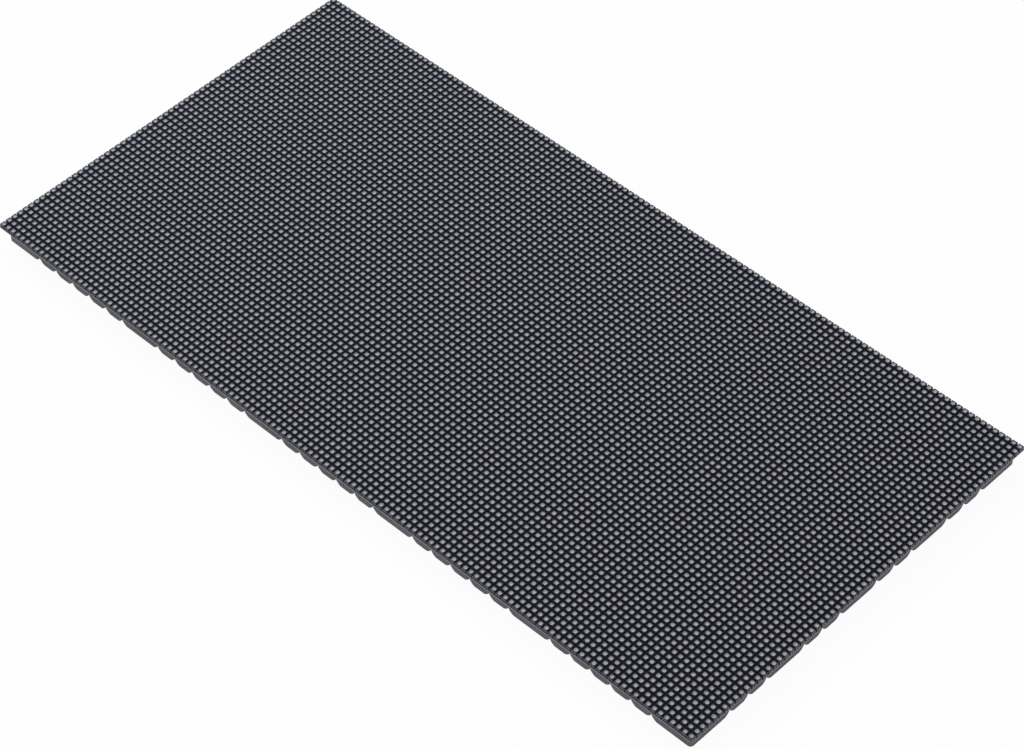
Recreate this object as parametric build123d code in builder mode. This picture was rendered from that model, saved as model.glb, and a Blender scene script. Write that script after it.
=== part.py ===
from build123d import *
import os

# A soft full-colour LED dot matrix module. The lamps look up (+Z), the long edge runs along X,
# and the origin is at the middle of the underside, in millimetres.

# Face grid
pitch = 2.5                 # from one lamp to the next, both ways
column_count = 128
row_count = 64
rows_per_bank = 8
package_side = 2.0          # square black lamp package
package_height = 1.2

# Flexible circuit board
board_thickness = 0.6
board_margin = 0.1          # what the board stops short of the face, on each side

# Rubber rear frame: an outer band, its lower part cut into lobes, and shallow ribs across
frame_height = 6.0
frame_inset = 1.9           # board edge to the band's outer wall
frame_corner_radius = 1.4
band_width = 12.0
rib_width = 8.0
rib_height = 3.0            # from the board down, clear of what the module lies on
overrun = 1.0               # what a cutter runs past the face that it leaves by

# Flex notches: the bulging flanks of two lobes meet in a throat, which runs on upwards as a slit
notch_depth = 1.75
notch_mouth = 4.2
notch_throat = 0.3
flank_bulge = 0.2           # of the flank's arc over its chord
slit_roof = 1.0             # what is left of the band over a slit
notch_spacing = 8.5
long_lobe_x = 17.8          # lobe over a magnet, on the long edges
long_lobe_y = 17.6          # the same, on the short edges
group_count_x = 5
notches_per_group_x = 6
group_count_y = 4
notches_per_group_y = 3

# Round magnets, bonded into pockets in the long lobes and flush with the underside
magnet_radius = 4.0
magnet_height = 3.0
magnet_clearance = 0.1      # round the magnet, in its pocket
magnet_inset = 6.2          # outer wall of the band to the magnet's centre

# Chips, resistors and capacitors under the board
driver_size = (8.6, 3.9, 1.4)
driver_columns = 3
driver_spacing_x = 15.0
driver_rows_y = (28.0, 50.0)
buffer_size = (3.9, 9.9, 1.5)
buffer_offset_x = 16.0      # signal header's centre to the buffer's
row_switch_size = (9.9, 3.9, 1.5)
row_switch_spacing_x = 20.0
row_switch_rows_y = (32.0, 52.0)
resistor_network_size = (1.6, 3.2, 0.6)
resistor_offset_x = 9.5     # signal header's centre to the network's
resistor_spacing_y = 6.0
resistor_networks_per_header = 4
ceramic_size = (1.6, 0.8, 0.8)
ceramic_offset_y = 5.5      # driver's centre to its capacitor's
bulk_size = (7.3, 4.3, 1.5)
bulk_offset_x = 17.0
bulk_offset_y = 12.0
moulding_draft = 7.0        # degrees, on the chips' sides

# Shrouded ribbon header, low profile
header_length = 28.6
header_width = 8.9
header_height = 5.5
header_wall = 1.1
header_base = 1.2
header_key_width = 4.5
header_key_depth = 3.4
header_contacts = 8         # in each of two rows
contact_spacing = 2.54
contact_side = 0.64
contact_length = 4.9

# Power header, low profile, with a latch wall and two end cheeks
power_contacts = 4
power_spacing = 3.96
power_length = 19.8
power_width = 8.4
power_height = 5.5
power_base = 1.4
power_wall = 1.2
power_cheek_length = 3.2
power_contact_side = 1.14
power_contact_length = 4.9

# Sizes and places that follow
face_length = column_count * pitch
face_width = row_count * pitch
board_length = face_length - 2 * board_margin
board_width = face_width - 2 * board_margin
board_bottom = frame_height
board_top = board_bottom + board_thickness
frame_length = board_length - 2 * frame_inset
frame_width = board_width - 2 * frame_inset
slit_top = frame_height - slit_roof

group_spacing_x = (notches_per_group_x - 1) * notch_spacing + long_lobe_x
group_spacing_y = (notches_per_group_y - 1) * notch_spacing + long_lobe_y


def centred(count, spacing):
    return [(number - (count - 1) / 2) * spacing for number in range(count)]


def grouped(groups, group_spacing, count, spacing):
    return [group + place for group in centred(groups, group_spacing) for place in centred(count, spacing)]


notches_x = grouped(group_count_x, group_spacing_x, notches_per_group_x, notch_spacing)
notches_y = grouped(group_count_y, group_spacing_y, notches_per_group_y, notch_spacing)
rib_places = [group + group_spacing_x / 2 for group in centred(group_count_x, group_spacing_x)[:-1]]

# Centres of the cells between the ribs, along X
cell_ends = [-frame_length / 2 + band_width]
for place in rib_places:
    cell_ends += [place - rib_width / 2, place + rib_width / 2]
cell_ends.append(frame_length / 2 - band_width)
cell_centres = [(low + high) / 2 for low, high in zip(cell_ends[0::2], cell_ends[1::2])]
left_cell, left_middle_cell, centre_cell, right_middle_cell, right_cell = cell_centres

magnet_x = frame_length / 2 - magnet_inset
magnet_y = frame_width / 2 - magnet_inset
inner_lobes_x = rib_places[1:-1]
magnet_places = [(x, y) for y in (-magnet_y, magnet_y) for x in [-magnet_x, *inner_lobes_x, magnet_x]]

header_places = (left_cell, right_cell)
driver_places = [
    (cell + x, side * y)
    for cell in (left_cell, left_middle_cell, right_middle_cell, right_cell)
    for x in centred(driver_columns, driver_spacing_x)
    for y in driver_rows_y
    for side in (-1, 1)
]
ceramic_places = [(x, y + ceramic_offset_y) for x, y in driver_places]
buffer_places = [(x + side * buffer_offset_x, 0) for x in header_places for side in (-1, 1)]
row_switch_places = [
    (centre_cell + x, side * y)
    for x in centred(2, row_switch_spacing_x)
    for y in row_switch_rows_y
    for side in (-1, 1)
]
resistor_places = [
    (x + side * resistor_offset_x, y)
    for x, side in zip(header_places, (1, -1))
    for y in centred(resistor_networks_per_header, resistor_spacing_y)
]
bulk_places = [(centre_cell + side * bulk_offset_x, y) for side in (-1, 1) for y in centred(3, bulk_offset_y)]

os.makedirs("parts", exist_ok=True)

# Flexible circuit board
with BuildPart() as flex_board:
    with BuildSketch(Plane.XY.offset(board_bottom)):
        Rectangle(board_length, board_width)
    extrude(amount=board_thickness)
flex_board.part.label = "flex_board"
export_step(flex_board.part, "parts/flex_board.step")

# Lamp rows: the packages of one row stand in line, so a row is one low bar
row_length = face_length - pitch + package_side
bank_spacing = rows_per_bank * pitch
for number, bank_y in enumerate(centred(row_count // rows_per_bank, bank_spacing), start=1):
    with BuildPart() as led_bank:
        with BuildSketch(Plane.XY.offset(board_top)):
            with Locations(*[(0, bank_y + y) for y in centred(rows_per_bank, pitch)]):
                Rectangle(row_length, package_side)
        extrude(amount=package_height)
    led_bank.part.label = f"led_bank_{number}"
    export_step(led_bank.part, f"parts/led_bank_{number}.step")

# One flex notch, seen from the side, with its mouth at the underside
with BuildSketch() as notch:
    with BuildLine():
        SagittaArc((-notch_mouth / 2, 0), (-notch_throat / 2, notch_depth), -flank_bulge)
        Polyline(
            (-notch_throat / 2, notch_depth),
            (-notch_throat / 2, slit_top),
            (notch_throat / 2, slit_top),
            (notch_throat / 2, notch_depth),
        )
        SagittaArc((notch_throat / 2, notch_depth), (notch_mouth / 2, 0), -flank_bulge)
        Polyline(
            (notch_mouth / 2, 0),
            (notch_mouth / 2, -overrun),
            (-notch_mouth / 2, -overrun),
            (-notch_mouth / 2, 0),
        )
    make_face()

# Rubber rear frame
with BuildPart() as rear_frame:
    with BuildSketch():
        RectangleRounded(frame_length, frame_width, frame_corner_radius)
    extrude(amount=frame_height)
    with BuildSketch():
        Rectangle(frame_length - 2 * band_width, frame_width - 2 * band_width)
    extrude(amount=frame_height, mode=Mode.SUBTRACT)
    with BuildSketch():
        with Locations(*magnet_places):
            Circle(magnet_radius + magnet_clearance)
    extrude(amount=magnet_height, mode=Mode.SUBTRACT)
    with BuildSketch(Plane.XZ):
        with Locations(*[(x, 0) for x in notches_x]):
            add(notch.sketch)
    extrude(amount=frame_width, both=True, mode=Mode.SUBTRACT)
    with BuildSketch(Plane.YZ):
        with Locations(*[(y, 0) for y in notches_y]):
            add(notch.sketch)
    extrude(amount=frame_length, both=True, mode=Mode.SUBTRACT)
    with BuildSketch(Plane.XY.offset(frame_height)):
        with Locations(*[(x, 0) for x in rib_places]):
            Rectangle(rib_width, frame_width - 2 * band_width)
    extrude(amount=-rib_height)
rear_frame.part.label = "rear_frame"
export_step(rear_frame.part, "parts/rear_frame.step")

# Magnets
with BuildPart() as magnets:
    with BuildSketch():
        with Locations(*magnet_places):
            Circle(magnet_radius)
    extrude(amount=magnet_height)
magnets.part.label = "magnets"
export_step(magnets.part, "parts/magnets.step")


def make_board_parts(label, places, size, draft):
    length, width, height = size
    with BuildPart() as board_parts:
        with BuildSketch(Plane.XY.offset(board_bottom)):
            with Locations(*places):
                Rectangle(length, width)
        extrude(amount=-height, taper=draft)
    board_parts.part.label = label
    export_step(board_parts.part, f"parts/{label}.step")


make_board_parts("driver_chips", driver_places, driver_size, moulding_draft)
make_board_parts("buffer_chips", buffer_places, buffer_size, moulding_draft)
make_board_parts("row_switch_chips", row_switch_places, row_switch_size, moulding_draft)
make_board_parts("resistor_networks", resistor_places, resistor_network_size, 0)
make_board_parts("ceramic_capacitors", ceramic_places, ceramic_size, 0)
make_board_parts("bulk_capacitors", bulk_places, bulk_size, 0)


def make_signal_header(side_name, header_x, key_side):
    contact_places = [
        (header_x + x, y)
        for x in centred(2, contact_spacing)
        for y in centred(header_contacts, contact_spacing)
    ]
    with BuildPart() as header:
        with BuildSketch(Plane.XY.offset(board_bottom)):
            with Locations((header_x, 0)):
                Rectangle(header_width, header_length)
        extrude(amount=-header_height)
        with BuildSketch(Plane.XY.offset(board_bottom - header_base)):
            with Locations((header_x, 0)):
                Rectangle(header_width - 2 * header_wall, header_length - 2 * header_wall)
        extrude(amount=-header_height, mode=Mode.SUBTRACT)
        with BuildSketch(Plane.XY.offset(board_bottom - header_height)):
            with Locations((header_x + key_side * (header_width - header_wall) / 2, 0)):
                Rectangle(2 * header_wall, header_key_width)
        extrude(amount=header_key_depth, mode=Mode.SUBTRACT)
        with BuildSketch(Plane.XY.offset(board_bottom)):
            with Locations(*contact_places):
                Rectangle(contact_side, contact_side)
        extrude(amount=-header_base, mode=Mode.SUBTRACT)
    header.part.label = f"signal_header_{side_name}"
    export_step(header.part, f"parts/signal_header_{side_name}.step")
    with BuildPart() as contacts:
        with BuildSketch(Plane.XY.offset(board_bottom)):
            with Locations(*contact_places):
                Rectangle(contact_side, contact_side)
        extrude(amount=-contact_length)
    contacts.part.label = f"signal_contacts_{side_name}"
    export_step(contacts.part, f"parts/signal_contacts_{side_name}.step")


make_signal_header("in", left_cell, 1)
make_signal_header("out", right_cell, -1)

# Power header: base, latch wall along its -Y side and a cheek at each end
power_contact_places = [(centre_cell + x, 0) for x in centred(power_contacts, power_spacing)]
with BuildPart() as power_header:
    with BuildSketch(Plane.XY.offset(board_bottom)):
        with Locations((centre_cell, 0)):
            Rectangle(power_length, power_width)
    extrude(amount=-power_base)
    with BuildSketch(Plane.XY.offset(board_bottom)):
        with Locations((centre_cell, -(power_width - power_wall) / 2)):
            Rectangle(power_length, power_wall)
        cheek_x = (power_length - power_wall) / 2
        cheek_y = -(power_width - power_cheek_length) / 2
        with Locations((centre_cell - cheek_x, cheek_y), (centre_cell + cheek_x, cheek_y)):
            Rectangle(power_wall, power_cheek_length)
    extrude(amount=-power_height)
    with BuildSketch(Plane.XY.offset(board_bottom)):
        with Locations(*power_contact_places):
            Rectangle(power_contact_side, power_contact_side)
    extrude(amount=-power_base, mode=Mode.SUBTRACT)
power_header.part.label = "power_header"
export_step(power_header.part, "parts/power_header.step")

with BuildPart() as power_contacts_row:
    with BuildSketch(Plane.XY.offset(board_bottom)):
        with Locations(*power_contact_places):
            Rectangle(power_contact_side, power_contact_side)
    extrude(amount=-power_contact_length)
power_contacts_row.part.label = "power_contacts"
export_step(power_contacts_row.part, "parts/power_contacts.step")
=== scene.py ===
import math

import bmesh
import bpy
from mathutils import Matrix, Vector


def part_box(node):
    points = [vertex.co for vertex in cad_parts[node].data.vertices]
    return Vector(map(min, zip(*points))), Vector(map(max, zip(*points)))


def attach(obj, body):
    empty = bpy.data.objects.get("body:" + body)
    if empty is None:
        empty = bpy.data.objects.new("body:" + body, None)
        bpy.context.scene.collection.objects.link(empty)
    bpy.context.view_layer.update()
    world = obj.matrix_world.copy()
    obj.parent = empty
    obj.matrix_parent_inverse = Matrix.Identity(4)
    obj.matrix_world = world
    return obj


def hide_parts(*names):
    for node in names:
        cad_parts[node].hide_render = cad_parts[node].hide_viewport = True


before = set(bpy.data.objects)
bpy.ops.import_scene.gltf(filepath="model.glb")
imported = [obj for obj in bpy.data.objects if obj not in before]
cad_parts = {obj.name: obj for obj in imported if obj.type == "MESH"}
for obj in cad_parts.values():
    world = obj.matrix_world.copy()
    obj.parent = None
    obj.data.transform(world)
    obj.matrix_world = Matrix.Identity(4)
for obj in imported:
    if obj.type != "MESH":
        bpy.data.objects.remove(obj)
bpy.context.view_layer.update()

mm = 0.001
weldDistance = 0.001 * mm                            # vertices closer than this are one
scene = bpy.context.scene


def hexColor(code):                                  # sRGB hex to linear, with alpha
    parts = [int(code[place:place + 2], 16) / 255 for place in (1, 3, 5)]
    linear = [p / 12.92 if p <= 0.04045 else ((p + 0.055) / 1.055) ** 2.4 for p in parts]
    return (*linear, 1)


def feed(tree, node, inputs):
    # each input takes a value, a hex colour, a socket, or a node's first output
    for name, value in inputs.items():
        socket = node.inputs[name]
        if isinstance(value, bpy.types.Node):
            value = value.outputs[0]
        if isinstance(value, bpy.types.NodeSocket):
            tree.links.new(value, socket)
        elif isinstance(value, str) and value.startswith("#"):
            socket.default_value = hexColor(value)
        else:
            socket.default_value = value


def addNode(tree, kind, inputs=None, **settings):
    # a Mix node's inputs go by number: 0 its share, 2 and 3 numbers, 6 and 7 colours
    node = tree.nodes.new(kind)
    for name, value in settings.items():
        setattr(node, name, value)
    feed(tree, node, inputs or {})
    return node


def newMaterial(name, values):
    material = bpy.data.materials.new(name)
    material.use_nodes = True
    tree = material.node_tree
    shader = tree.nodes["Principled BSDF"]
    feed(tree, shader, values)
    return material, tree, shader


def newPiece(name, shape, *materials):               # a mesh object from a bmesh
    bmesh.ops.recalc_face_normals(shape, faces=shape.faces)
    mesh = bpy.data.meshes.new(name)
    shape.to_mesh(mesh)
    shape.free()
    for material in materials:
        mesh.materials.append(material)
    return bpy.data.objects.new(name, mesh)


# Camera, at the photograph's view

cameraPlace = {
    "location": (0.55587, -0.54559, 0.83862),        # metres, in the part's frame
    "aim": (0.01763, -0.00997, 0.00762),             # where its axis meets the lamp face
    "roll": 1.557,                                   # degrees
    "lens": 120.417, "sensor": 36,                   # mm
    "clipStart": 0.01,                               # metres
}


def makeCamera(place):
    camera = bpy.data.objects.new("camera", bpy.data.cameras.new("camera"))
    scene.collection.objects.link(camera)
    location, aim = Vector(place["location"]), Vector(place["aim"])
    turn = (aim - location).to_track_quat("-Z", "Y").to_matrix().to_4x4()
    roll = Matrix.Rotation(math.radians(-place["roll"]), 4, "Z")
    camera.matrix_world = Matrix.Translation(location) @ turn @ roll
    camera.data.lens = place["lens"]
    camera.data.sensor_width = place["sensor"]
    camera.data.clip_start = place["clipStart"]
    scene.camera = camera


makeCamera(cameraPlace)
print("camera done")


# Light and floor

studio = {
    "ambient": 0.45,              # world strength on the object
    "background": "#ffffff",
    "floorColor": "#f4f4f4",
    "floorRoughness": 0.9,
    "floorSide": 6.0,             # metres
    "floorGlow": 0.95,            # share of plain white seen in the floor
    "lights": {                   # metres and watts
        "back_light": {"size": 1.0, "power": 21, "color": "#e2eaff", "place": (-1.1, 0.7, 0.94)},
        "front_light": {"size": 1.2, "power": 5, "color": "#ffffff", "place": (0.6, -1.05, 1.0)},
    },
}


def whiteBehind(tree):            # 1 where the background shows: to the camera, metal and glass
    rays = addNode(tree, "ShaderNodeLightPath").outputs
    seen = rays["Is Camera Ray"]
    for name in ("Is Glossy Ray", "Is Transmission Ray"):
        seen = addNode(tree, "ShaderNodeMath", {0: seen, 1: rays[name]}, operation="MAXIMUM")
    return seen


def makeWorld(settings):
    world = bpy.data.worlds.new("studio")
    world.use_nodes = True
    scene.world = world
    tree = world.node_tree
    strength = addNode(tree, "ShaderNodeMix", {
        0: whiteBehind(tree), 2: settings["ambient"], 3: 1.0,
    })
    feed(tree, tree.nodes["Background"], {"Color": settings["background"], "Strength": strength})


def makeLight(name, settings):
    area = bpy.data.lights.new(name, "AREA")
    area.shape = "SQUARE"
    area.size = settings["size"]
    area.energy = settings["power"]
    area.color = hexColor(settings["color"])[:3]
    light = bpy.data.objects.new(name, area)
    scene.collection.objects.link(light)
    light.location = settings["place"]
    light.rotation_euler = (-light.location).to_track_quat("-Z", "Y").to_euler()


def makeFloor(settings):
    half = settings["floorSide"] / 2
    corners = [(-half, -half, 0), (half, -half, 0), (half, half, 0), (-half, half, 0)]
    shape = bmesh.new()
    shape.faces.new([shape.verts.new(corner) for corner in corners])
    material, tree, shader = newMaterial("pale_studio_floor", {
        "Base Color": settings["floorColor"], "Roughness": settings["floorRoughness"],
        "Specular IOR Level": 0.0,
    })
    glow = addNode(tree, "ShaderNodeEmission", {"Color": settings["background"], "Strength": 1.0})
    share = addNode(tree, "ShaderNodeMath", {
        0: whiteBehind(tree), 1: settings["floorGlow"],
    }, operation="MULTIPLY")
    mixed = addNode(tree, "ShaderNodeMixShader", {0: share, 1: shader, 2: glow})
    feed(tree, tree.nodes["Material Output"], {"Surface": mixed})
    floor = newPiece("floor", shape, material)
    scene.collection.objects.link(floor)


makeWorld(studio)
for name, settings in studio["lights"].items():
    makeLight(name, settings)
makeFloor(studio)
scene.view_settings.view_transform = "Standard"
print("light and floor done")


# Materials. Patterns run on the piece's own coordinates, and their sizes are in mm.

noiseSpan = (0.3, 0.7)                               # what a noise texture mostly stays within

mouldingFinish = {
    "top": ("#10121d", "#181a26"),                   # the blackest package, and the palest
    # the sides' grey is partly the bare moulding's own colour and partly a painted reflection of
    # the pale floor
    "sides": "#33343f",
    "topSheen": 0.12, "sideSheen": 0.5,
    "upright": (0.3, 0.9),                           # from a side to a top, as the normal rises
    "flow": 0.5, "grain": 0.08, "grainDepth": 0.004,
    "roughness": (0.38, 0.52),
}


def blackEpoxyMoulding(finish):    # matt blue-black top; greyer satin sides, their grey partly the bare moulding and partly a painted reflection of the pale floor
    material, tree, shader = newMaterial("black_epoxy_moulding", {"IOR": 1.5})
    point = addNode(tree, "ShaderNodeTexCoord").outputs["Object"]
    normal = addNode(tree, "ShaderNodeNewGeometry").outputs["Normal"]
    upright = addNode(tree, "ShaderNodeSeparateXYZ", {"Vector": normal}).outputs["Z"]
    top = addNode(tree, "ShaderNodeMapRange", {
        "Value": upright, "From Min": finish["upright"][0], "From Max": finish["upright"][1],
    })
    sheen = addNode(tree, "ShaderNodeMapRange", {
        "Value": top, "To Min": finish["sideSheen"], "To Max": finish["topSheen"],
    })
    tone = addNode(tree, "ShaderNodeAttribute", attribute_name="tone").outputs["Fac"]
    black = addNode(tree, "ShaderNodeMix", {
        0: tone, 6: finish["top"][0], 7: finish["top"][1],
    }, data_type="RGBA").outputs[2]
    # upright faces take the lighter side colour: partly bare moulding, partly a painted reflection
    # of the floor
    base = addNode(tree, "ShaderNodeMix", {
        0: top, 6: finish["sides"], 7: black,
    }, data_type="RGBA").outputs[2]
    flow = addNode(tree, "ShaderNodeTexNoise", {
        "Vector": point, "Scale": 1 / (finish["flow"] * mm), "Detail": 3,
    })
    grain = addNode(tree, "ShaderNodeTexNoise", {
        "Vector": point, "Scale": 1 / (finish["grain"] * mm), "Detail": 2,
    })
    rough = addNode(tree, "ShaderNodeMapRange", {
        "Value": flow, "From Min": noiseSpan[0], "From Max": noiseSpan[1],
        "To Min": finish["roughness"][0], "To Max": finish["roughness"][1],
    })
    bump = addNode(tree, "ShaderNodeBump", {
        "Height": grain, "Distance": finish["grainDepth"] * mm,
    })
    feed(tree, shader, {
        "Base Color": base, "Specular IOR Level": sheen, "Roughness": rough, "Normal": bump,
    })
    return material


windowFinish = {
    "plain": ("#9c9c9f", "#b0aeb0"),
    "tints": ("#9ca6a4", "#b1a5a9"), "tintShare": 0.35,
    "toneFold": 7.3,                                 # makes a second random number of the first
    "dice": "#5c5e64", "diceShare": 0.5,             # what shows of them through the resin
    "diceSpan": (0.6, 0.95),                         # from the resin's edge, 0, to its middle, 1
    "waves": 0.3, "waveDepth": 0.006,
    "roughness": 0.5,
}


def milkyEpoxyWindow(finish):      # diffusing resin over the dice: milky, each a little different
    material, tree, shader = newMaterial("milky_epoxy_window", {
        "Roughness": finish["roughness"], "IOR": 1.5,
    })
    point = addNode(tree, "ShaderNodeTexCoord").outputs["Object"]
    tone = addNode(tree, "ShaderNodeAttribute", attribute_name="tone").outputs["Fac"]
    middle = addNode(tree, "ShaderNodeAttribute", attribute_name="middle").outputs["Fac"]
    spread = addNode(tree, "ShaderNodeMath", {
        0: tone, 1: finish["toneFold"],
    }, operation="MULTIPLY")
    second = addNode(tree, "ShaderNodeMath", {0: spread}, operation="FRACT")
    plain = addNode(tree, "ShaderNodeMix", {
        0: tone, 6: finish["plain"][0], 7: finish["plain"][1],
    }, data_type="RGBA").outputs[2]
    tint = addNode(tree, "ShaderNodeMix", {
        0: second, 6: finish["tints"][0], 7: finish["tints"][1],
    }, data_type="RGBA").outputs[2]
    milky = addNode(tree, "ShaderNodeMix", {
        0: finish["tintShare"], 6: plain, 7: tint,
    }, data_type="RGBA").outputs[2]
    dice = addNode(tree, "ShaderNodeMapRange", {
        "Value": middle, "From Min": finish["diceSpan"][0], "From Max": finish["diceSpan"][1],
        "To Max": finish["diceShare"],
    })
    base = addNode(tree, "ShaderNodeMix", {
        0: dice, 6: milky, 7: finish["dice"],
    }, data_type="RGBA").outputs[2]
    waves = addNode(tree, "ShaderNodeTexNoise", {
        "Vector": point, "Scale": 1 / (finish["waves"] * mm), "Detail": 2,
    })
    bump = addNode(tree, "ShaderNodeBump", {
        "Height": waves, "Distance": finish["waveDepth"] * mm,
    })
    feed(tree, shader, {"Base Color": base, "Normal": bump})
    return material


boardFinish = {
    "overCopper": "#1d1e22", "overGaps": "#121215", "cutEdge": "#737379",
    "areas": 22,                                     # the runs turn from one area to the next
    "runUnit": 10,                                   # what the next three are shares of
    "runSpacing": 0.08, "runGap": 0.014, "runLength": 1.9,
    "runDepth": 0.03, "runStrength": 0.6, "gapSoftness": 0.3,
    "roughness": 0.42,
}


def boardLaminate(finish):         # black mask over copper runs, bare laminate at the cut edge
    material, tree, shader = newMaterial("black_masked_laminate", {
        "Roughness": finish["roughness"],
    })
    point = addNode(tree, "ShaderNodeTexCoord").outputs["Object"]
    normal = addNode(tree, "ShaderNodeNewGeometry").outputs["Normal"]
    upright = addNode(tree, "ShaderNodeSeparateXYZ", {"Vector": normal}).outputs["Z"]
    flat = addNode(tree, "ShaderNodeMath", {0: upright}, operation="ABSOLUTE")
    areas = addNode(tree, "ShaderNodeTexVoronoi", {
        "Vector": point, "Scale": 1 / (finish["areas"] * mm),
    }, distance="MANHATTAN")
    share = addNode(tree, "ShaderNodeSeparateColor", {"Color": areas.outputs["Color"]})
    across = addNode(tree, "ShaderNodeMath", {0: share, 1: 0.5}, operation="GREATER_THAN")
    runs = []
    for turn in (0, math.pi / 2):                    # along X, or along Y
        turned = addNode(tree, "ShaderNodeMapping", {"Vector": point, "Rotation": (0, 0, turn)})
        runs.append(addNode(tree, "ShaderNodeTexBrick", {
            "Vector": turned, "Scale": 1 / (finish["runUnit"] * mm),
            "Mortar Size": finish["runGap"], "Mortar Smooth": finish["gapSoftness"],
            "Brick Width": finish["runLength"], "Row Height": finish["runSpacing"],
        }).outputs["Fac"])
    lines = addNode(tree, "ShaderNodeMix", {0: across, 2: runs[0], 3: runs[1]})
    mask = addNode(tree, "ShaderNodeMix", {
        0: lines, 6: finish["overCopper"], 7: finish["overGaps"],
    }, data_type="RGBA").outputs[2]
    base = addNode(tree, "ShaderNodeMix", {
        0: flat, 6: finish["cutEdge"], 7: mask,
    }, data_type="RGBA").outputs[2]
    bump = addNode(tree, "ShaderNodeBump", {
        "Height": lines, "Distance": finish["runDepth"] * mm, "Strength": finish["runStrength"],
    }, invert=True)
    feed(tree, shader, {"Base Color": base, "Normal": bump})
    return material


rubberFinish = {
    "clean": "#59595f", "dusty": "#67676d", "dustSpan": (0.35, 0.7),
    "dust": 9, "grain": 0.25, "grainDepth": 0.02,
    "roughness": 0.72,
}


def mouldedRubber(finish):         # dark grey rubber: matt, finely grained, a little dusty
    material, tree, shader = newMaterial("moulded_rubber", {"Roughness": finish["roughness"]})
    point = addNode(tree, "ShaderNodeTexCoord").outputs["Object"]
    dust = addNode(tree, "ShaderNodeTexNoise", {
        "Vector": point, "Scale": 1 / (finish["dust"] * mm), "Detail": 5,
    })
    spread = addNode(tree, "ShaderNodeMapRange", {
        "Value": dust, "From Min": finish["dustSpan"][0], "From Max": finish["dustSpan"][1],
    })
    base = addNode(tree, "ShaderNodeMix", {
        0: spread, 6: finish["clean"], 7: finish["dusty"],
    }, data_type="RGBA").outputs[2]
    grain = addNode(tree, "ShaderNodeTexNoise", {
        "Vector": point, "Scale": 1 / (finish["grain"] * mm), "Detail": 3,
    })
    bump = addNode(tree, "ShaderNodeBump", {
        "Height": grain, "Distance": finish["grainDepth"] * mm,
    })
    feed(tree, shader, {"Base Color": base, "Normal": bump})
    return material


plasticGrain = {"cloud": 2, "grain": 0.2, "grainDepth": 0.008, "lessRough": 0.06, "rougher": 0.08}


def mouldedPlastic(name, dark, pale, roughness):     # even colour, fine eroded grain, uneven gloss
    material, tree, shader = newMaterial(name, {})
    point = addNode(tree, "ShaderNodeTexCoord").outputs["Object"]
    cloud = addNode(tree, "ShaderNodeTexNoise", {
        "Vector": point, "Scale": 1 / (plasticGrain["cloud"] * mm), "Detail": 3,
    })
    grain = addNode(tree, "ShaderNodeTexNoise", {
        "Vector": point, "Scale": 1 / (plasticGrain["grain"] * mm), "Detail": 3,
    })
    base = addNode(tree, "ShaderNodeMix", {
        0: cloud, 6: dark, 7: pale,
    }, data_type="RGBA").outputs[2]
    rough = addNode(tree, "ShaderNodeMapRange", {
        "Value": cloud, "From Min": noiseSpan[0], "From Max": noiseSpan[1],
        "To Min": roughness - plasticGrain["lessRough"],
        "To Max": roughness + plasticGrain["rougher"],
    })
    bump = addNode(tree, "ShaderNodeBump", {
        "Height": grain, "Distance": plasticGrain["grainDepth"] * mm,
    })
    feed(tree, shader, {"Base Color": base, "Roughness": rough, "Normal": bump})
    return material


plateCloud = {"size": 1.5, "brightest": 0.8, "dullest": 1.3}     # mm, and times the roughness


def platedMetal(name, dark, pale, roughness):        # thin plating, slightly clouded
    material, tree, shader = newMaterial(name, {"Metallic": 1.0})
    point = addNode(tree, "ShaderNodeTexCoord").outputs["Object"]
    cloud = addNode(tree, "ShaderNodeTexNoise", {
        "Vector": point, "Scale": 1 / (plateCloud["size"] * mm), "Detail": 3,
    })
    base = addNode(tree, "ShaderNodeMix", {
        0: cloud, 6: dark, 7: pale,
    }, data_type="RGBA").outputs[2]
    rough = addNode(tree, "ShaderNodeMapRange", {
        "Value": cloud, "From Min": noiseSpan[0], "From Max": noiseSpan[1],
        "To Min": roughness * plateCloud["brightest"], "To Max": roughness * plateCloud["dullest"],
    })
    feed(tree, shader, {"Base Color": base, "Roughness": rough})
    return material


mouldingMaterial = blackEpoxyMoulding(mouldingFinish)
windowMaterial = milkyEpoxyWindow(windowFinish)
solderMaterial = platedMetal("reflowed_tin_solder", "#9a9a9e", "#c9c9cc", 0.35)  # dulled by flux
tinMaterial = platedMetal("tin_plate", "#a7a7a6", "#c3c3c1", 0.32)
inkMaterial = mouldedPlastic("white_printing_ink", "#c9c9c6", "#dededb", 0.6)    # matt, off white
bandMaterial = mouldedPlastic("brown_printing_ink", "#4d3413", "#5a3d18", 0.55)
print("materials done")


# Geometry Nodes for what repeats

def newTree(name, sockets):                          # a geometry tree and its named inputs
    tree = bpy.data.node_groups.new(name, "GeometryNodeTree")
    for label, kind in sockets.items():
        tree.interface.new_socket(label, in_out="INPUT", socket_type="NodeSocket" + kind)
    tree.interface.new_socket("Geometry", in_out="OUTPUT", socket_type="NodeSocketGeometry")
    return tree, addNode(tree, "NodeGroupInput").outputs


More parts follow.
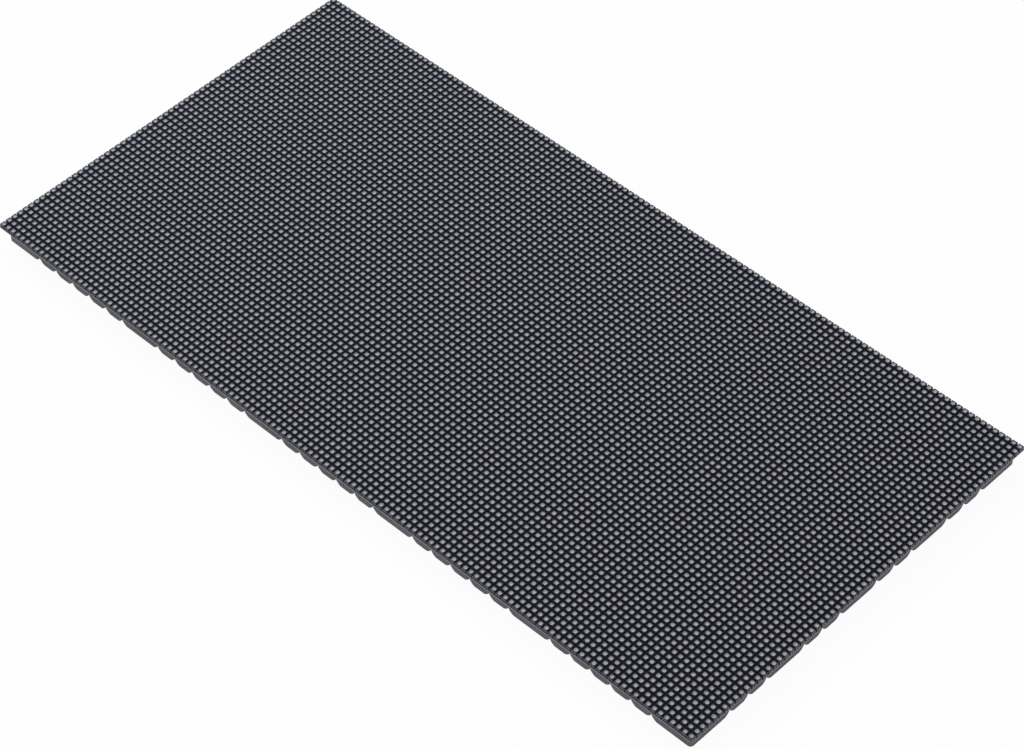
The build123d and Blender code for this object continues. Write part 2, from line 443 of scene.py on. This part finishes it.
def lampBankTree():
    tree, given = newTree("lamp_bank", {
        "Package": "Object", "Columns": "Int", "Rows": "Int", "Pitch": "Float",
        "Centre": "Vector", "Tilt": "Float", "Seed": "Int",
        "Moulding": "Material", "Window": "Material", "Solder": "Material",
    })
    spans = []
    for count in ("Columns", "Rows"):
        gaps = addNode(tree, "ShaderNodeMath", {0: given[count], 1: 1.0}, operation="SUBTRACT")
        spans.append(addNode(tree, "ShaderNodeMath", {
            0: gaps, 1: given["Pitch"],
        }, operation="MULTIPLY"))
    grid = addNode(tree, "GeometryNodeMeshGrid", {
        "Size X": spans[0], "Size Y": spans[1],
        "Vertices X": given["Columns"], "Vertices Y": given["Rows"],
    })
    placed = addNode(tree, "GeometryNodeTransform", {
        "Geometry": grid, "Translation": given["Centre"],
    })
    package = addNode(tree, "GeometryNodeObjectInfo", {
        "Object": given["Package"],
    }).outputs["Geometry"]
    lower = addNode(tree, "ShaderNodeMath", {0: given["Tilt"], 1: -1.0}, operation="MULTIPLY")
    limits = [addNode(tree, "ShaderNodeCombineXYZ", {"X": limit, "Y": limit, "Z": limit})
              for limit in (lower, given["Tilt"])]
    turn = addNode(tree, "FunctionNodeRandomValue", {          # each lamp sits a little askew
        0: limits[0], 1: limits[1], "Seed": given["Seed"],
    }, data_type="FLOAT_VECTOR")
    lamps = addNode(tree, "GeometryNodeInstanceOnPoints", {
        "Points": placed, "Instance": package, "Rotation": turn,
    })
    following = addNode(tree, "ShaderNodeMath", {0: given["Seed"], 1: 1.0})
    tone = addNode(tree, "FunctionNodeRandomValue", {
        "Seed": following,
    }, data_type="FLOAT").outputs[1]
    toned = addNode(tree, "GeometryNodeStoreNamedAttribute", {
        "Geometry": lamps, "Name": "tone", "Value": tone,
    }, data_type="FLOAT", domain="INSTANCE")
    real = addNode(tree, "GeometryNodeRealizeInstances", {"Geometry": toned})
    part = addNode(tree, "GeometryNodeInputNamedAttribute", {"Name": "part"}, data_type="INT")
    for number, name in enumerate(("Moulding", "Window", "Solder")):
        chosen = addNode(tree, "FunctionNodeCompare", {
            2: part, 3: number,
        }, data_type="INT", operation="EQUAL")
        real = addNode(tree, "GeometryNodeSetMaterial", {
            "Geometry": real, "Selection": chosen, "Material": given[name],
        })
    addNode(tree, "NodeGroupOutput", {"Geometry": real})
    return tree


def pairedRowsTree():                                # at every point, one row on two opposite sides
    tree, given = newTree("paired_rows", {
        "Places": "Geometry", "Part": "Object", "Count": "Int", "Step": "Vector",
        "Reach": "Vector", "Material": "Material",
    })
    gaps = addNode(tree, "ShaderNodeMath", {0: given["Count"], 1: 1.0}, operation="SUBTRACT")
    half = addNode(tree, "ShaderNodeMath", {0: gaps, 1: -0.5}, operation="MULTIPLY")
    back = addNode(tree, "ShaderNodeVectorMath", {
        0: given["Step"], "Scale": half,
    }, operation="SCALE")
    start = addNode(tree, "ShaderNodeVectorMath", {0: given["Reach"], 1: back}, operation="ADD")
    line = addNode(tree, "GeometryNodeMeshLine", {
        "Count": given["Count"], "Start Location": start, "Offset": given["Step"],
    })
    part = addNode(tree, "GeometryNodeObjectInfo", {"Object": given["Part"]}).outputs["Geometry"]
    row = addNode(tree, "GeometryNodeInstanceOnPoints", {"Points": line, "Instance": part})
    opposite = addNode(tree, "GeometryNodeTransform", {
        "Geometry": row, "Rotation": (0, 0, math.pi),
    })
    pair = addNode(tree, "GeometryNodeJoinGeometry", {0: row})
    feed(tree, pair, {0: opposite})
    placed = addNode(tree, "GeometryNodeInstanceOnPoints", {
        "Points": given["Places"], "Instance": pair,
    })
    real = addNode(tree, "GeometryNodeRealizeInstances", {"Geometry": placed})
    done = addNode(tree, "GeometryNodeSetMaterial", {
        "Geometry": real, "Material": given["Material"],
    })
    addNode(tree, "NodeGroupOutput", {"Geometry": done})
    return tree


def runTree(name, tree, values, places=()):          # a plain mesh object from a tree
    source = bpy.data.meshes.new(name + "_places")
    source.from_pydata(places, [], [])
    piece = bpy.data.objects.new(name, source)
    scene.collection.objects.link(piece)
    modifier = piece.modifiers.new("nodes", "NODES")
    modifier.node_group = tree
    for item in tree.interface.items_tree:
        if item.name in values:
            modifier[item.identifier] = values[item.name]
    piece.update_tag()
    evaluated = piece.evaluated_get(bpy.context.evaluated_depsgraph_get())
    mesh = bpy.data.meshes.new_from_object(evaluated)
    mesh.name = name
    piece.modifiers.remove(modifier)
    piece.data = mesh
    return piece


# Lamps: one package, repeated on the pitch, eight rows to a bank

lamp = {
    "side": 2.0, "height": 1.2,              # mm, as the solids have them
    "footInset": 0.1, "footHeight": 0.25,    # the moulding stands back above its terminals
    "draft": 0.03,                           # the top is this much smaller on each side
    "edge": 0.06,                            # broken top edge
    "window": 1.44, "windowCorner": 0.48, "cornerSteps": 2,
    "recess": 0.15, "meniscus": 0.1,         # rim to the resin's edge, and on down to its middle
    "padWidth": 0.42, "padSpacing": 1.0,     # two solder joints on the left side and the right
    "solderReach": 0.14, "solderHeight": 0.65, "solderSink": 0.06,
    "tilt": 0.7,                             # degrees, the most that a package sits askew
    "sink": 0.02,                            # so that no raised corner stands proud
    "seed": 7,                               # a bank uses two, for its tilts and its tones
}
face = {"pitch": 2.5, "columns": 128, "rows": 64, "rowsPerBank": 8}


def roundedSquare(half, radius, steps):
    points = []
    for quarter in range(4):
        middle = math.radians(45 + 90 * quarter)
        cx = math.copysign(half - radius, math.cos(middle))
        cy = math.copysign(half - radius, math.sin(middle))
        for step in range(steps + 1):
            angle = math.radians(90 * quarter + 90 * step / steps)
            points.append((cx + radius * math.cos(angle), cy + radius * math.sin(angle)))
    return points


def makePackage(sizes):
    shape = bmesh.new()
    part = shape.faces.layers.int.new("part")        # 0 moulding, 1 window, 2 solder
    middle = shape.verts.layers.float.new("middle")
    half, height, edge = sizes["side"] / 2, sizes["height"], sizes["edge"]
    top, foot = half - sizes["draft"], half - sizes["footInset"]
    bedHeight = height - sizes["recess"]

    def ring(points, z):
        return [shape.verts.new((x * mm, y * mm, z * mm)) for x, y in points]

    def square(reach, z):
        return ring([(reach, reach), (-reach, reach), (-reach, -reach), (reach, -reach)], z)

    def bridge(*rings):
        for low, high in zip(rings, rings[1:]):
            for i in range(len(low)):
                shape.faces.new((low[i - 1], low[i], high[i], high[i - 1]))

    base, rim = square(foot, 0), square(top - edge, height)
    outline = roundedSquare(sizes["window"] / 2, sizes["windowCorner"], sizes["cornerSteps"])
    lip, bed = ring(outline, height), ring(outline, bedHeight)
    shape.faces.new(base[::-1])
    bridge(base, square(foot, sizes["footHeight"]), square(half, sizes["footHeight"]),
           square(top, height - edge), rim)
    perCorner = sizes["cornerSteps"] + 1
    for corner in range(4):                          # the rim's face, from its corners to the lip
        own = lip[corner * perCorner:(corner + 1) * perCorner]
        following = lip[(corner + 1) * perCorner % len(lip)]
        for first, second in zip(own, own[1:]):
            shape.faces.new((rim[corner], second, first))
        shape.faces.new((rim[corner], rim[(corner + 1) % 4], following, own[-1]))
    bridge(lip, bed)
    centre = ring([(0, 0)], bedHeight - sizes["meniscus"])[0]
    centre[middle] = 1.0
    for first, second in zip(bed, bed[1:] + bed[:1]):
        resin = shape.faces.new((first, second, centre))
        resin[part] = 1
        resin.smooth = True
    wall, toe = half - sizes["solderSink"], half + sizes["solderReach"]
    halfPad = sizes["padWidth"] / 2
    for side in (-1, 1):
        for y in (-sizes["padSpacing"] / 2, sizes["padSpacing"] / 2):
            left, right, tip = ring([
                (side * wall, y - halfPad), (side * wall, y + halfPad), (side * toe, y),
            ], 0)
            crown = ring([(side * wall, y)], sizes["solderHeight"])[0]
            for corners in ((left, right, tip), (left, tip, crown),
                            (tip, right, crown), (right, left, crown)):
                shape.faces.new(corners)[part] = 2
    return newPiece("lamp_package", shape)


def makeLampBanks():
    package = makePackage(lamp)
    tree = lampBankTree()
    for bank in range(face["rows"] // face["rowsPerBank"]):
        node = f"led_bank_{bank + 1}"
        low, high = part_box(node)
        piece = runTree(f"lamps_{bank + 1}", tree, {
            "Package": package, "Columns": face["columns"], "Rows": face["rowsPerBank"],
            "Pitch": face["pitch"] * mm,
            "Centre": ((low.x + high.x) / 2, (low.y + high.y) / 2, low.z - lamp["sink"] * mm),
            "Tilt": math.radians(lamp["tilt"]), "Seed": lamp["seed"] + 2 * bank,
            "Moulding": mouldingMaterial, "Window": windowMaterial, "Solder": solderMaterial,
        })
        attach(piece, "root")
        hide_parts(node)
    print("lamps done, faces in a bank:", len(piece.data.polygons))


makeLampBanks()


# Legs, end caps and tails of the parts under the board, in mm. All hang from its lower face.

leg = {
    "drop": 0.75,                            # from the board down to where a leg leaves the body
    "bend": 0.22, "heel": 0.55, "toe": 0.98,     # how far out it turns, lands and ends
    "thickness": 0.15, "sink": 0.15,
}
cap = {"band": 0.3, "proud": 0.02, "fillet": 0.24, "filletHeight": 0.4}
tab = {"thickness": 0.12, "fillet": 0.4, "filletHeight": 0.35, "sink": 0.1}
tail = {"length": 1.15, "thickness": 0.2, "sink": 0.3}


def makePrism(name, profile, width, alongX):         # the profile is (outwards, up)
    shape = bmesh.new()
    near, far = [], []
    for side, end in ((-width / 2, near), (width / 2, far)):
        for out, up in profile:
            x, y = (side, out) if alongX else (out, side)
            end.append(shape.verts.new((x * mm, y * mm, up * mm)))
    shape.faces.new(near)
    shape.faces.new(far[::-1])
    for i in range(len(profile)):
        shape.faces.new((near[i - 1], near[i], far[i], far[i - 1]))
    return newPiece(name, shape)


def makeLeg(row):                                    # a gull-wing leg
    thick, low = leg["thickness"], -leg["drop"]
    return makePrism("leg", [
        (-leg["sink"], low - thick), (leg["bend"], low - thick), (leg["heel"] + thick / 2, -thick),
        (leg["toe"], -thick), (leg["toe"], 0), (leg["heel"] - thick / 2, 0),
        (leg["bend"] - thick / 2, low), (-leg["sink"], low),
    ], row["width"], row["alongX"])


def makeCap(row):                                    # a metal end with its solder fillet
    proud, low = cap["proud"], -row["height"] - cap["proud"]
    return makePrism("cap", [
        (-cap["band"], 0), (-cap["band"], low), (proud, low), (proud, -cap["filletHeight"]),
        (cap["fillet"], 0),
    ], row["width"] + 2 * proud, row["alongX"])


def makeTab(row):                                    # a lead folded down a capacitor's end
    low = -row["height"]
    return makePrism("tab", [
        (-tab["sink"], 0), (-tab["sink"], low), (tab["thickness"], low),
        (tab["thickness"], -tab["filletHeight"]), (tab["fillet"], 0),
    ], row["width"], row["alongX"])


def makeTail(row):                                   # a flat soldering tail out of a header's foot
    return makePrism("tail", [
        (-tail["sink"], -tail["thickness"]), (tail["length"], -tail["thickness"]),
        (tail["length"], 0), (-tail["sink"], 0),
    ], row["width"], row["alongX"])


metalwork = {                                        # count and spacing are of the row on one side
    "driver_legs": {"node": "driver_chips", "make": makeLeg, "width": 0.28,
                    "count": 12, "spacing": 0.635, "alongX": True},
    "row_switch_legs": {"node": "row_switch_chips", "make": makeLeg, "width": 0.42,
                        "count": 8, "spacing": 1.27, "alongX": True},
    "buffer_legs": {"node": "buffer_chips", "make": makeLeg, "width": 0.42,
                    "count": 8, "spacing": 1.27, "alongX": False},
    "resistor_ends": {"node": "resistor_networks", "make": makeCap, "width": 0.42, "height": 0.6,
                      "count": 4, "spacing": 0.8, "alongX": False},
    "ceramic_ends": {"node": "ceramic_capacitors", "make": makeCap, "width": 0.8, "height": 0.8,
                     "count": 1, "spacing": 0, "alongX": False},
    "bulk_tabs": {"node": "bulk_capacitors", "make": makeTab, "width": 2.4, "height": 0.8,
                  "count": 1, "spacing": 0, "alongX": False},
    "signal_in_tails": {"node": "signal_header_in", "make": makeTail, "width": 0.8,
                        "count": 8, "spacing": 2.54, "alongX": False},
    "signal_out_tails": {"node": "signal_header_out", "make": makeTail, "width": 0.8,
                         "count": 8, "spacing": 2.54, "alongX": False},
    "power_tails": {"node": "power_header", "make": makeTail, "width": 0.8,
                    "count": 4, "spacing": 3.96, "alongX": True},
}


def solidBoxes(node):                                # the box of each separate solid in a node
    shape = bmesh.new()
    shape.from_mesh(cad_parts[node].data)
    bmesh.ops.remove_doubles(shape, verts=shape.verts, dist=weldDistance)
    waiting = set(shape.verts)
    boxes = []
    while waiting:
        reached, corners = [waiting.pop()], []
        while reached:
            vertex = reached.pop()
            corners.append(tuple(vertex.co))
            for link in vertex.link_edges:
                other = link.other_vert(vertex)
                if other in waiting:
                    waiting.remove(other)
                    reached.append(other)
        boxes.append((Vector(map(min, zip(*corners))), Vector(map(max, zip(*corners)))))
    shape.free()
    return sorted(boxes, key=lambda box: tuple(box[0]))


def makeMetalwork():
    tree = pairedRowsTree()
    for name, row in metalwork.items():
        boxes = solidBoxes(row["node"])
        size = boxes[0][1] - boxes[0][0]
        step = row["spacing"] * mm
        piece = runTree(name, tree, {
            "Part": row["make"](row), "Count": row["count"], "Material": tinMaterial,
            "Step": (step, 0, 0) if row["alongX"] else (0, step, 0),
            "Reach": (0, size.y / 2, 0) if row["alongX"] else (size.x / 2, 0, 0),
        }, [((low.x + high.x) / 2, (low.y + high.y) / 2, high.z) for low, high in boxes])
        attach(piece, "root")
        print(name, "faces:", len(piece.data.polygons))


makeMetalwork()
print("legs, ends and tails done")


# Printed outlines on the board's lower face, and the band on each bulk capacitor, in mm

ink = {
    "line": 0.2, "thickness": 0.02,
    "chipGap": 0.45,                         # chip to the line at its end
    "dot": 0.6, "dotSides": 10, "dotPlace": 0.8,
    "roundGaps": {                           # a piece to the line all round it
        "bulk_capacitors": 0.8, "signal_header_in": 1.5, "signal_header_out": 1.5,
        "power_header": 1.5, "resistor_networks": 0.6, "ceramic_capacitors": 0.45,
    },
}
band = {"length": 1.4, "proud": 0.02, "sunk": 0.1, "endGap": 0.35, "sideGap": 0.175}


def addBar(shape, x0, x1, y0, y1, z0, z1):
    place = Matrix.Translation(((x0 + x1) / 2, (y0 + y1) / 2, (z0 + z1) / 2))
    stretch = Matrix.Diagonal((x1 - x0, y1 - y0, z1 - z0, 1))
    bmesh.ops.create_cube(shape, size=1, matrix=place @ stretch)


def makePrint():
    shape = bmesh.new()
    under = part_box("flex_board")[0].z
    line, thick, gap = ink["line"] * mm, ink["thickness"] * mm, ink["chipGap"] * mm
    radius = ink["dot"] / 2 * mm
    layer = (under - thick, under)
    for node in ("driver_chips", "row_switch_chips"):    # a line at each end, a dot at leg one
        for low, high in solidBoxes(node):
            addBar(shape, low.x - gap - line, low.x - gap, low.y, high.y, *layer)
            addBar(shape, high.x + gap, high.x + gap + line, low.y, high.y, *layer)
            place = (low.x - gap, low.y - ink["dotPlace"] * mm, under - thick / 2)
            bmesh.ops.create_cone(
                shape, cap_ends=True, segments=ink["dotSides"], radius1=radius, radius2=radius,
                depth=thick, matrix=Matrix.Translation(place))
    for low, high in solidBoxes("buffer_chips"):
        addBar(shape, low.x, high.x, low.y - gap - line, low.y - gap, *layer)
        addBar(shape, low.x, high.x, high.y + gap, high.y + gap + line, *layer)
    for node, space in ink["roundGaps"].items():
        for low, high in solidBoxes(node):
            x0, x1 = low.x - space * mm, high.x + space * mm
            y0, y1 = low.y - space * mm, high.y + space * mm
            addBar(shape, x0 - line, x1 + line, y0 - line, y0, *layer)
            addBar(shape, x0 - line, x1 + line, y1, y1 + line, *layer)
            addBar(shape, x0 - line, x0, y0, y1, *layer)
            addBar(shape, x1, x1 + line, y0, y1, *layer)
    piece = newPiece("printed_outlines", shape, inkMaterial)
    scene.collection.objects.link(piece)
    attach(piece, "root")


def makeBands():
    shape = bmesh.new()
    sideGap = band["sideGap"] * mm
    for low, high in solidBoxes("bulk_capacitors"):
        end = high.x - band["endGap"] * mm
        addBar(shape, end - band["length"] * mm, end, low.y + sideGap, high.y - sideGap,
               low.z - band["proud"] * mm, low.z + band["sunk"] * mm)
    piece = newPiece("capacitor_bands", shape, bandMaterial)
    scene.collection.objects.link(piece)
    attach(piece, "root")


makePrint()
makeBands()
print("print done")


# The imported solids: materials, and their edges broken

edgeFinish = {"segments": 2, "sharpFrom": 35}        # degrees between two faces


def dressSolids():
    chip = mouldedPlastic("black_epoxy_chip", "#1f1f20", "#29292a", 0.5)
    header = mouldedPlastic("black_nylon", "#1d1d1d", "#262626", 0.4)
    power = mouldedPlastic("ivory_nylon", "#cfcabb", "#dad6c9", 0.4)
    resistor = mouldedPlastic("glazed_resistor", "#19191c", "#232327", 0.3)
    ceramic = mouldedPlastic("brown_ceramic", "#7d6248", "#8f7357", 0.5)
    bulk = mouldedPlastic("yellow_capacitor_moulding", "#9a7424", "#ad862f", 0.45)
    nickel = platedMetal("nickel_plated_steel", "#b5b2ac", "#cfccc6", 0.22)
    contact = platedMetal("gilt_contact", "#c9a450", "#dcbc6c", 0.25)
    dress = {                                        # material, and the broken edge's width in mm
        "flex_board": (boardLaminate(boardFinish), 0),
        "rear_frame": (mouldedRubber(rubberFinish), 0.3),
        "magnets": (nickel, 0.25),
        "driver_chips": (chip, 0.1),
        "buffer_chips": (chip, 0.1),
        "row_switch_chips": (chip, 0.1),
        "resistor_networks": (resistor, 0.05),
        "ceramic_capacitors": (ceramic, 0.05),
        "bulk_capacitors": (bulk, 0.15),
        "signal_header_in": (header, 0.12),
        "signal_header_out": (header, 0.12),
        "power_header": (power, 0.15),
        "signal_contacts_in": (contact, 0.12),
        "signal_contacts_out": (contact, 0.12),
        "power_contacts": (contact, 0.2),
    }
    for node, (material, edge) in dress.items():
        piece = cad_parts[node]
        piece.data.materials.clear()
        piece.data.materials.append(material)
        if edge:
            weld = piece.modifiers.new("weld", "WELD")
            weld.merge_threshold = weldDistance
            bevel = piece.modifiers.new("broken_edge", "BEVEL")
            bevel.width = edge * mm
            bevel.segments = edgeFinish["segments"]
            bevel.limit_method = "ANGLE"
            bevel.angle_limit = math.radians(edgeFinish["sharpFrom"])
            bevel.use_clamp_overlap = True


dressSolids()
print("solids dressed")
